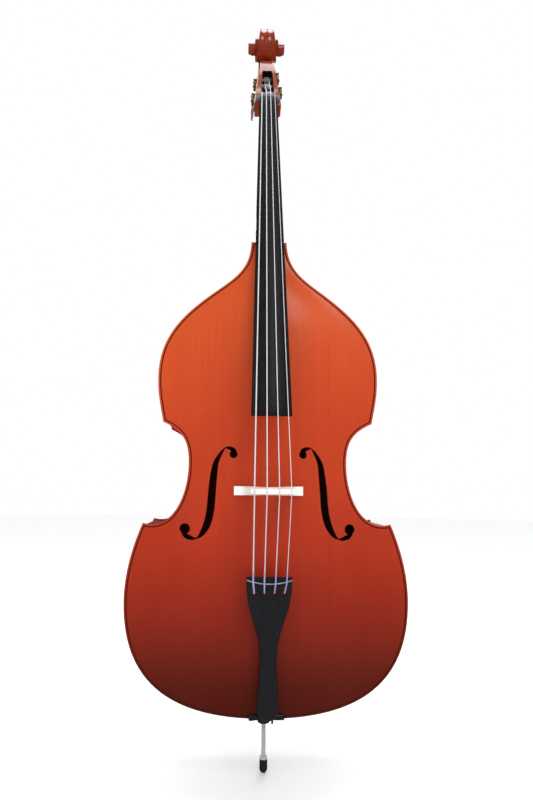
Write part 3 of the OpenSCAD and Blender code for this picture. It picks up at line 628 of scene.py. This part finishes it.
# Right sound hole: two eyes with their radii, and the centre lines of the stem and of the wings, each point
# (across, up, width)
F_EYES = (((81.6, 603), 9.3), ((193.6, 428.9), 12.3))
F_STEM = ((101.3, 618.4, 1.5), (108.6, 609.6, 6.5), (114.6, 600, 9), (120.6, 589, 11.8), (124.4, 577, 14),
          (126.8, 562, 16), (128.8, 544, 17.4), (130.8, 522, 18.2), (132, 503, 18.6), (133.5, 481, 18.6),
          (135.9, 463, 18.3), (139.4, 447, 17.6), (144.3, 433.5, 16.4), (151, 421.5, 13), (158.3, 412, 8),
          (166.4, 406, 2))
F_WINGS = (((102.5, 618, 2), (94.5, 618, 7), (87.5, 616, 9.6), (80.5, 611.5, 10), (77.2, 606, 7),
            (78, 602, 5)),
           ((165, 406.4, 2), (175.5, 406.8, 8.5), (184.5, 409.4, 11.5), (191.5, 413, 11.5),
            (197.5, 419.5, 8), (200, 427, 6)))
# The nicks' point on the stem, their half width, start inside the hole and reach past its rim
NICK_AT, NICK_HALF, NICK_IN, NICK_OUT = 7, 1.6, 1.5, 4


def along_f(points, per=4):
    """Smoothed centre line of a stem or wing, its sideways unit vectors and its widths."""
    grid = smooth_path(points, per)
    line, widths = grid[:, :2], grid[:, 2]
    way = np.gradient(line, axis=0)
    normal = np.stack([-way[:, 1], way[:, 0]], axis=1) / np.linalg.norm(way, axis=1)[:, None]
    return line, normal, widths


def f_outline(points):
    """The outline of a stem or wing."""
    line, normal, widths = along_f(points)
    reach = normal * widths[:, None] / 2
    return np.vstack([line + reach, (line - reach)[::-1]])


def prism(name, outline, y0, y1, material):
    """A flat body outline pushed through from depth y0 to y1."""
    return skin(name, [[(x, y, z + BASE_Z) for x, z in outline] for y in (y0, y1)], material)


def circle(centre, r, n=40):
    return [(centre[0] + r * math.cos(a), centre[1] + r * math.sin(a))
            for a in np.arange(n) * 2 * math.pi / n]


def f_hole_cutters(side):
    """Solids that cut one sound hole: the stem, two wings, two eyes and two nicks."""
    parts = [f_outline(points) for points in (F_STEM, *F_WINGS)]
    parts += [circle(centre, r) for centre, r in F_EYES]
    line, normal, widths = along_f(F_STEM, 1)
    for sign in (1, -1):
        out = normal[NICK_AT] * sign
        along = np.array([-out[1], out[0]]) * NICK_HALF
        base = line[NICK_AT] + out * (widths[NICK_AT] / 2 - NICK_IN)
        parts.append([base - along, base + along, base + out * NICK_OUT])
    for i, part in enumerate(parts):
        flat = [(side * x, z) for x, z in part]
        yield prism(f"cutter {side} {i}", flat, -160, -90, CUT_EDGE)


def saddle_notch(past):
    """A cutter for the saddle's seat, from in front of the top to this far past the ribs' front edge."""
    low, high = node_box("saddle")
    return mesh_box("notch", (low[0], -150, low[2] - 6), (high[0], -HALF_D + past, high[2]), SPRUCE)


def make_plates():
    top = skin("top_shell", plate_rings(TOP_ARCH, False), SPRUCE, "zip", sharp=50)
    top.data.materials.append(CUT_EDGE)
    for side in (-1, 1):
        for cutter in f_hole_cutters(side):
            boolean(top, cutter)
    boolean(top, saddle_notch(0.5))
    top.data.set_sharp_from_angle(angle=math.radians(40))
    even = top.modifiers.new("even normals", "WEIGHTED_NORMAL")
    even.keep_sharp = True
    apply_modifiers(top)
    piece(top, "root", "varnished_spruce", "top_plate")
    back = skin("back_shell", mirrored_y(plate_rings(BACK_ARCH, True)), MAPLE, "zip", sharp=50)
    piece(back, "root", "varnished_maple", "back_plate")
    front_line = skin("front_inlay", purfling_rings(TOP_ARCH, False), PURFLING, None, True)
    boolean(front_line, saddle_notch(0))
    piece(front_line, "root", "purfling", "top_purfling")
    back_line = skin("rear_inlay", mirrored_y(purfling_rings(BACK_ARCH, True)), PURFLING, None, True)
    piece(back_line, "root", "purfling", "back_purfling")


def make_ribs():
    outer, inner = inset(OVERHANG), inset(OVERHANG + RIB_T)
    spans = {"rib_lower": (0, I_LOWER), "rib_waist": (I_LOWER, I_UPPER), "rib_upper": (I_UPPER, HALF_N)}
    for name, (a, b) in spans.items():
        for side, word in ((-1, "left"), (1, "right")):
            fronts, rears = [], []
            for line in (outer[a:b + 1], inner[a:b + 1]):
                x, z = side * line[:, 0], line[:, 1]
                fronts.append(np.stack([x, np.full(len(x), -HALF_D), z + BASE_Z], axis=1))
                rears.append(np.stack([x, HALF_D - bend(z), z + BASE_Z], axis=1))
            strips = [fronts[0], rears[0], rears[1], fronts[1]]
            n = b - a + 1
            faces = ring_faces(n, 4, around=False, along=True)
            faces += [(0, n, 2 * n, 3 * n), (n - 1, 2 * n - 1, 3 * n - 1, 4 * n - 1)]
            rib = mesh_object(f"{name}_{word}_strip", [p for s in strips for p in s], faces, MAPLE)
            piece(rib, "root", "varnished_maple", f"{name}_{word}")


# ---------------------------------------------------------------- neck, fingerboard, nut
def neck_face(z):
    """The neck's front face, under the fingerboard."""
    return NUT_Y + BOARD_T + 1 - BOARD_SLOPE * (NUT_Z - z)


# Height above the joint, half width in front, half width behind, depth of the wood
NECK_CUTS = [(0, 33, 25, 172), (3, 33, 25, 158), (9, 33, 25.5, 128), (18, 33, 26, 88), (30, 33, 27, 58),
             (46, 32.5, 28, 40), (70, 32, 28.5, 31), (120, 31, 27.5, 28), (421, 23, 21, 25)]


def make_neck():
    cuts = smooth_path(NECK_CUTS, 6)
    rings = []
    for up, front, behind, depth in cuts:
        z, y = NECK_Z + up, neck_face(NECK_Z + up)
        ring = [(front, y, z), (-front, y, z)]
        for a in np.linspace(math.pi, 0, 25):
            swell = math.sin(a) ** 0.75
            wide = mix(front, behind, min(1, swell * 1.2))
            ring.append((wide * math.copysign(abs(math.cos(a)) ** 0.8, math.cos(a)),
                         y + depth * (0.3 + 0.7 * swell), z))
        rings.append(ring)
    neck = skin("neck_wood", rings, HEAD_MAPLE, sharp=60)
    foot = mesh_box("neck foot", (-38, -HALF_D, NECK_Z - OVERHANG),
                    (38, HALF_D - bend(BODY_LEN) - 2, NECK_Z + 0.4), HEAD_MAPLE)
    bevel(foot, 1.0)
    join(neck, foot)
    piece(neck, "root", "varnished_maple", "neck")


def make_fingerboard():
    rings = []
    for t in np.linspace(0, 1, 40):
        z = NUT_Z - BOARD_LEN * (1 - t)
        half = mix(*BOARD_WIDTHS, t) / 2
        crown = mix(*BOARD_CROWNS, t)
        y = NUT_Y - BOARD_SLOPE * (NUT_Z - z)
        scoop = BOARD_SCOOP * math.sin(math.pi * min(1, t / 0.55)) if t < 0.55 else 0
        under = y + BOARD_T + 0.6
        ring = [(half * u, under - (scoop * (1 - (u / 0.8) ** 2) if abs(u) < 0.8 else 0), z)
                for u in np.linspace(-1, 1, 17)]
        ring += [(half * u, y + crown * u * u, z) for u in np.linspace(1, -1, 33)]
        rings.append(ring)
    board = skin("board_wood", rings, EBONY, sharp=45)
    bevel(board, 0.7, 2, 50)
    piece(board, "root", "ebony", "fingerboard")


def make_nut():
    rings = []
    for back, up in ((3.0, 0.2), (0.8, 0.9), (0.0, 3.0), (0.3, 6.5), (2.6, NUT_TOP)):
        z = NUT_Z + 0.2 + up
        ring = [(NUT_HALF * u, NUT_Y + 22.8, z) for u in np.linspace(-1, 1, 9)]
        for u in np.linspace(1, -1, 61):
            x = NUT_HALF * u
            notch = max(NOTCH_DEPTH * math.exp(-((x - string_x(i, NUT_SPREAD)) / NOTCH_HALF) ** 2)
                        for i in range(4))
            ring.append((x, NUT_Y + 0.6 + NUT_CROWN * u * u + back * 0.55 + notch, z))
        rings.append(ring)
    nut = skin("nut_shell", rings, NUT_EBONY_PAINTED_REFLECTION, sharp=40)
    piece(nut, "root", "ebony", "nut")


# ---------------------------------------------------------------- head
def from_head(p):
    """Point of the pegbox frame (across, back, along) in the row frame."""
    x, b, s = p
    c, w = math.cos(HEAD_TILT), math.sin(HEAD_TILT)
    return (x, NUT_Y + 23 + b * c + s * w, NUT_Z + 1 - b * w + s * c)


def cheek_x(s):
    """Half width of the pegbox outside."""
    return max(THROAT_HALF, CHEEK_HALF - s * CHEEK_TAPER)


# Along the spiral in degrees from the back of the head: radius and half width
TURN = ((-40, 62.2, 21), (0, 57.2, 20), (60, 52.8, 18.7), (150, 48.8, 18.7), (240, 41.2, 25.5),
        (330, 33.3, 30.6), (420, 29.8, 31), (510, 26.8, 31.5), (600, 23.3, 35.5), (680, 18.8, 39))
TURN_END = TURN[-1][0]
TURN_ANGLES = np.arange(TURN[0][0], TURN_END + 1, 4)
FLUTE = 2.6


def spiral(angle):
    """Radius and half width of the volute at an angle, eased between the stated ones."""
    grid = smooth_path(TURN, 12)
    return np.interp(angle, grid[:, 0], grid[:, 1]), np.interp(angle, grid[:, 0], grid[:, 2])


def scroll_point(angle, radius, x):
    """A point round the scroll's eye."""
    a = math.radians(angle)
    return from_head((x, EYE[1] + radius * math.cos(a), EYE[2] + radius * math.sin(a)))


def fluted(half):
    """Places across a fluted rim and how deep it is hollowed there: two flutes and a ridge."""
    return [(u * half, FLUTE * math.sin(math.pi * abs(u)) ** 0.8) for u in np.linspace(-1, 1, 33)]


def volute_flank(side):
    """One flank of the volute, a strip that winds from the first turn's edge up to the eye."""
    rings = []
    for angle in TURN_ANGLES:
        r, w = spiral(angle)
        rn, wn = spiral(angle + 360) if angle + 360 < TURN_END else (EYE_R, EYE_HALF)
        gap = r - rn
        floor = w - 1.2 - 0.1 * gap
        rows = [(r, w - 1.5), (r - 0.4, w - 0.5), (r - 1.4, w), (r - 2.6, w - 0.2),
                (rn + gap * 0.6, floor), (rn + gap * 0.25, floor + 0.1), (rn + gap * 0.08, floor + 0.8),
                (rn, floor + 2.2), (rn, wn - 1.5)]
        rings.append([scroll_point(angle, max(rr, 1), side * x) for rr, x in rows])
    strip = ribbon("flank", rings, HEAD_MAPLE)
    eye = []
    for r, x in ((EYE_R, 34), (EYE_R, EYE_HALF - 1.6), (EYE_R - 0.5, EYE_HALF - 0.5),
                 (EYE_R - 1.6, EYE_HALF), (EYE_R * 0.6, EYE_HALF - 0.3), (0.5, EYE_HALF - 0.5)):
        eye.append([scroll_point(a, r, side * x) for a in np.arange(0, 360, 8)])
    join(strip, skin("eye", eye, HEAD_MAPLE))
    return strip


def volute_rim():
    """The outer surface of the whole spiral, with its two flutes."""
    rings = []
    for angle in TURN_ANGLES:
        r, w = spiral(angle)
        rings.append([scroll_point(angle, r - depth, x) for x, depth in fluted(w - 1.5)])
    return ribbon("rim", rings, HEAD_MAPLE)


# Place along the head, front, back
BOX_CUTS = [(BOX_LOW, 5, 36), (-7, 4.2, 40), (-3, 1.5, 44.5), (3, 0.3, 47), (30, -1.5, 49), (60, -3, 50),
            (100, -6.5, 49.5), (135, -8.7, 49), (160, -8, 49), (176, -4.5, 49), (188, 1.5, 49.3),
            (200, 11, 50.2), (210, 22, 51.6), (218, 31, 54)]


def pegbox_section(s, front, back):
    """Section of the pegbox: softened front edges, flat cheeks and a fluted back."""
    half = cheek_x(s)
    fade = min(1.0, max(0.0, (s - 2) / 30))
    cheek = [(half - 2.2, front), (half - 0.7, front + 0.6), (half, front + 2.2), (half, back - 2)]
    row = [(-x, b) for x, b in cheek]
    row += [(x, back - depth * fade) for x, depth in fluted(half - 1.5)]
    row += cheek[::-1]
    return [from_head((x, b, s)) for x, b in row]


def hollow_x(s):
    """Half width of the pegbox hollow."""
    return 19.5 - 0.05 * s


def make_head():
    sections = [pegbox_section(*cut) for cut in smooth_path(BOX_CUTS, 5)]
    head = skin("head_wood", sections, HEAD_MAPLE, sharp=45)
    head.data.materials.append(HOLLOW_WOOD)
    profile = [(-25, 9), (38, 9), (40, 60), (38, 120), (32, 146), (14, 146), (-6, 125), (-25, 110)]
    walls = [[from_head((side * hollow_x(s), b, s)) for b, s in profile] for side in (-1, 1)]
    hollow = skin("hollow", walls, HOLLOW_WOOD)
    bevel(hollow, 1.5, 2, 20)
    boolean(head, hollow)
    for _, _, s, _ in STRINGS.values():
        rim = [(ROLLER_B + BORE_R * math.cos(a), s + BORE_R * math.sin(a))
               for a in np.arange(0, 2 * math.pi, 0.2)]
        bore = [[from_head((x, b, along)) for b, along in rim] for x in (-60, 60)]
        boolean(head, skin("bore", bore, HOLLOW_WOOD))
    for side in (-1, 1):
        join(head, volute_flank(side))
    join(head, volute_rim())
    finish_mesh(head, 40)
    piece(head, "root", "varnished_maple", "head")


# ---------------------------------------------------------------- strings
# Place in the set, radius, place along the head, place across the pegbox
STRINGS = {"e": (0, 1.5, 34, -12), "a": (1, 1.25, 100, -6.5), "d": (2, 1.05, 132, 4.5),
           "g": (3, 0.85, 66, 9)}
ROLLER_B, BORE_R, BARREL_R, WINDING_GAP = 22, 6.6, 6, 0.3


def bridge_crest(x):
    """The bridge's curved front edge, which carries the strings."""
    return BRIDGE_Y + 10 * (x / 42) ** 2


def string_route(name):
    """A string's centre line from the tailpiece, over the bridge and the nut, to its roller."""
    i, r, s, px = STRINGS[name]
    bx, nx = string_x(i, BRIDGE_SPREAD), string_x(i, NUT_SPREAD)
    drop = OUTER_DROP if i in (0, 3) else 0
    top = bridge_crest(bx) - r - 0.1
    reach = BARREL_R + r + WINDING_GAP
    return [(bx * HOLE_SPREAD, TAIL_Y + 3, HOLE_Z), (bx * 0.9, TAIL_Y - 10, HOLE_Z + 10),
            (bx * 0.95, TAIL_Y - 16 - r, FRET_Z + 3), (bx, top, BRIDGE_Z - 5), (bx, top, BRIDGE_Z + 5),
            (nx, NUT_Y - 1.2 - r + drop, NUT_Z), (nx, NUT_Y - r + drop, NUT_Z + NUT_TOP + 0.5 + r),
            from_head((px, ROLLER_B - reach, s - 3)), from_head((px, ROLLER_B - reach, s + 1))]


def fine_route(points, step=14.0):
    """Straight stretches cut into steps."""
    out = []
    for a, b in zip(points[:-1], points[1:]):
        a, b = np.array(a), np.array(b)
        n = max(1, int(np.linalg.norm(b - a) / step))
        out += [a + (b - a) * i / n for i in range(n)]
    return out + [np.array(points[-1])]


def make_strings():
    for name, (_, r, *_) in STRINGS.items():
        path = fine_route(string_route(name))
        silk = [p for p in path if p[2] <= SILK_END]
        rest = [p for p in path if p[2] > SILK_END - 15]
        string = skin(f"string_{name}_winding", tube_rings(rest, r, 14), STRING_STEEL)
        piece(string, "root", "string_steel", f"string_{name}")
        wrap = skin(f"string_{name}_silk", tube_rings(silk, r + SILK_T, 14), SILK)
        piece(wrap, "root", "string_steel", f"string_{name}")


# ---------------------------------------------------------------- bridge
def bridge_foot(x):
    """Where the bridge stands on the arching."""
    arching = rise(np.array([[x, BRIDGE_Z - BASE_Z]]), TOP_ARCH)[0]
    return -(EDGE_Y - CHANNEL + float(arching) + 0.25)


def bridge_outline():
    """The bridge seen along the strings: arch between the feet, waisted sides and curved crest."""
    foot_in = BRIDGE_HALF - BRIDGE_FOOT
    arch_top, waist, crest_half = (0, -176), (51, -196), BRIDGE_SPREAD / 2 + 7
    under = [(x, bridge_foot(x)) for x in np.arange(BRIDGE_HALF, foot_in - 1, -3.0)]
    under += list(bezier_run((foot_in, bridge_foot(foot_in) - 14), 200, 20, arch_top, 180, 22, 16))
    side = list(bezier_run((BRIDGE_HALF, bridge_foot(BRIDGE_HALF) - 12), 190, 26, waist, 270, 26, 14))
    side += list(bezier_run(waist, 270, 26, (crest_half, -268), 270, 24, 12))
    crest = [crest_half * (1 - i / 16) for i in range(17)]
    side += [(x, bridge_crest(x) + 0.2) for x in crest]
    half = [arch_top] + under[::-1] + side
    return half[:-1] + [(-x, y) for x, y in half[:0:-1]]


def bridge_end(x, y, end):
    """A point of the bridge's upper or lower face; it thins from the feet to the crest."""
    lift = (y - BRIDGE_LOW_Y) / (BRIDGE_Y - BRIDGE_LOW_Y)
    return (x, y, BRIDGE_Z + end * mix(*BRIDGE_THICK, min(1, max(0, lift))))


def make_bridge():
    outline = bridge_outline()
    faces = [[bridge_end(x, y, end) for x, y in outline] for end in (-1, 1)]
    bridge = skin("bridge_wood", faces, BRIDGE_MAPLE, sharp=40)
    holes = [circle((0, -214), 11, 32), [(-5, -234), (5, -234), (5, -216), (-5, -216)],
             circle((38, -206), 9, 28), circle((-38, -206), 9, 28)]
    for hole in holes:
        ends = [[(x, y, BRIDGE_Z + z) for x, y in hole] for z in (-30, 30)]
        boolean(bridge, skin("cut", ends, BRIDGE_MAPLE))
    bevel(bridge, 0.8, 2, 45)
    piece(bridge, "root", "bridge_maple", "bridge")


# ---------------------------------------------------------------- tailpiece and its neighbours
# Height above the floor, half width, thickness
TAIL_CUTS = [(167.5, 6, 7), (169, 11, 9), (172.5, 16.5, 12.5), (178, 20, 15.5), (186, 22.3, 17.5),
             (206, 23.8, 19), (241, 22.4, 20), (273, 19.9, 20), (315, 19.4, 20), (340, 21.5, 20),
             (358, 24.7, 20), (376, 29.4, 19), (393, 34.8, 18), (410, 40.2, 17), (430, 45.4, 16),
             (460, 49.8, 14), (TAIL_TOP, 51.5, 13)]


def tail_face(z):
    """The tailpiece's middle plane, which leans forward toward its top."""
    return mix(TAIL_LOW_Y, TAIL_Y, (z - TAIL_LOW) / (TAIL_TOP - TAIL_LOW))


def make_tailpiece():
    rings = []
    for z, half, thick in smooth_path(TAIL_CUTS, 5):
        y = tail_face(z)
        ring = [(half * u, y + 6 - 1.5 * (1 - u * u), z) for u in np.linspace(-0.9, 0.9, 7)]
        ring += [(half * math.cos(a), y + 1 - (thick - 5) * math.sin(a), z)
                 for a in np.linspace(0, math.pi, 31)]
        rings.append(ring)
    tail = skin("tail_wood", rings, TAIL_EBONY, sharp=45)
    bevel(tail, 0.9, 2, 50)
    for i in range(4):
        x = string_x(i, BRIDGE_SPREAD) * HOLE_SPREAD
        hole = circle((x, HOLE_Z), 5, 28)
        slit = [(x - 1.7, HOLE_Z), (x + 1.7, HOLE_Z), (x + 1.7, SLIT_TOP), (x - 1.7, SLIT_TOP)]
        for shape in (hole, slit):
            ends = [[(px, y, pz) for px, pz in shape] for y in (-240, -140)]
            boolean(tail, skin("keyhole", ends, TAIL_EBONY))
    tail.data.set_sharp_from_angle(angle=math.radians(45))
    piece(tail, "root", "ebony", "tailpiece")
    face = tail_face(FRET_Z + 3) - 1
    fret = [(u * FRET_HALF, face - FRET_CROWN * math.sqrt(1 - 0.96 * u * u), FRET_Z + FRET_BOW * u * u)
            for u in np.linspace(-1, 1, 41)]
    fret_piece = skin("tail_rest", tube_rings(fret, 1.4, 12), FRET)
    piece(fret_piece, "root", "pale_fret", "tail_fret")


def make_saddle():
    saddle = mesh_box("saddle_block", *node_box("saddle"), TAIL_EBONY)
    bevel(saddle, 2.2, 4, 40)
    piece(saddle, "root", "ebony", "saddle")


# ---------------------------------------------------------------- CAD nodes that keep their shape
KEPT = {
    INSIDE_WOOD: ["lower_corner_blocks", "upper_corner_blocks", "neck_block", "end_block", "top_linings",
                  "back_linings", "bass_bar", "sound_post"],
    CABLE: ["tail_wire"],
    EBONY: ["endpin_collar"],
    STEEL: ["endpin_rod", "endpin_ferrule"],
    RUBBER: ["endpin_tip"],
    PLASTIC: ["thumb_screw"],
    BRASS: ["string_balls", "tuner_plates", "tuner_bushings"] + [f"gear_{s}" for s in STRINGS],
    NICKEL: ["plate_screws"] + [f"{p}_{s}" for p in ("roller", "key") for s in STRINGS],
    STRING_STEEL: [f"winding_{s}" for s in STRINGS],
}


def finish_kept():
    """Gives the CAD's own solids their materials."""
    for material, names in KEPT.items():
        for name in names:
            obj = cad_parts[name]
            obj.data.materials.clear()
            obj.data.materials.append(material)


# ---------------------------------------------------------------- stage, light and camera
FLOOR_R = 12000


def make_floor():
    """A plain pale floor that the glossy wood doesn't mirror."""
    mat, tree, shader, add = new_material("floor")
    speck = noise(tree, add, (3, 3, 3), 3, 0.5)
    colour = ramp(tree, add, speck, [(0.3, grey(0.96)), (0.7, grey(0.98))])
    wire(tree, colour, shader.inputs["Base Color"])
    shader.inputs["Roughness"].default_value = 0.85
    pts = [(x, y, 0) for x, y in circle((0, 0), FLOOR_R, 96)]
    floor = mesh_object("floor", pts, [tuple(range(len(pts)))], mat)
    floor.visible_glossy = False


def add_area(name, where, aim, size, power):
    """A round soft light, in metres and watts."""
    light = bpy.data.lights.new(name, "AREA")
    light.shape, light.size, light.energy = "DISK", size, power
    obj = bpy.data.objects.new(name, light)
    obj.location = where
    obj.rotation_euler = (Vector(aim) - Vector(where)).to_track_quat("-Z", "Y").to_euler()
    scene.collection.objects.link(obj)


def make_light():
    """A white world that is weak in reflections, and four soft lights."""
    world = bpy.data.worlds.new("studio")
    scene.world = world
    world.use_nodes = True
    tree = world.node_tree
    path, lit, mirrored, shown = [tree.nodes.new(kind) for kind in (
        "ShaderNodeLightPath", "ShaderNodeMixShader", "ShaderNodeBackground", "ShaderNodeBackground")]
    seen = tree.nodes["Background"]
    for node, strength in ((seen, 1.07), (mirrored, 0.09), (shown, 1.0)):
        node.inputs["Color"].default_value = (1, 1, 1, 1)
        node.inputs["Strength"].default_value = strength
    final = tree.nodes.new("ShaderNodeMixShader")
    wire(tree, path.outputs["Is Glossy Ray"], lit.inputs[0])
    wire(tree, seen.outputs[0], lit.inputs[1])
    wire(tree, mirrored.outputs[0], lit.inputs[2])
    wire(tree, path.outputs["Is Camera Ray"], final.inputs[0])
    wire(tree, lit.outputs[0], final.inputs[1])
    wire(tree, shown.outputs[0], final.inputs[2])
    wire(tree, final.outputs[0], tree.nodes["World Output"].inputs["Surface"])
    add_area("key", (0.9, -3.0, 3.3), (0, 0, 1.3), 1.8, 42)
    add_area("fill", (-2.4, -2.2, 2.6), (0, 0, 1.2), 1.8, 8)
    add_area("rear", (0.8, 2.8, 2.4), (0, 0, 1.0), 1.8, 35)
    add_area("overhead", (0, 0.3, 4.4), (0, 0, 0), 2.0, 40)


# The camera in metres; its distance is measured from the crest of the top plate's edge
CAMERA_X, CAMERA_Z, CAMERA_DISTANCE = -0.089, 0.6953, 1.4


def make_camera():
    """A wide, close view from the height of the bridge."""
    data = bpy.data.cameras.new("camera")
    data.lens = 26.55
    data.shift_x, data.shift_y = 0.019, 0.035
    data.clip_end = 100
    camera = bpy.data.objects.new("camera", data)
    camera.location = (CAMERA_X, -EDGE_Y * MM - CAMERA_DISTANCE, CAMERA_Z)
    pitch, yaw, roll = (math.radians(a) for a in (5.5, 2.0, 0.5))
    turn = Matrix.Rotation(-yaw, 4, "Z") @ Matrix.Rotation(math.pi / 2 + pitch, 4, "X")
    camera.rotation_euler = (turn @ Matrix.Rotation(roll, 4, "Z")).to_euler()
    scene.collection.objects.link(camera)
    scene.camera = camera
    scene.view_settings.view_transform = "Standard"


make_camera()
make_light()
make_floor()
make_plates()
make_ribs()
make_neck()
make_fingerboard()
make_nut()
make_head()
make_bridge()
make_strings()
make_tailpiece()
make_saddle()
finish_kept()
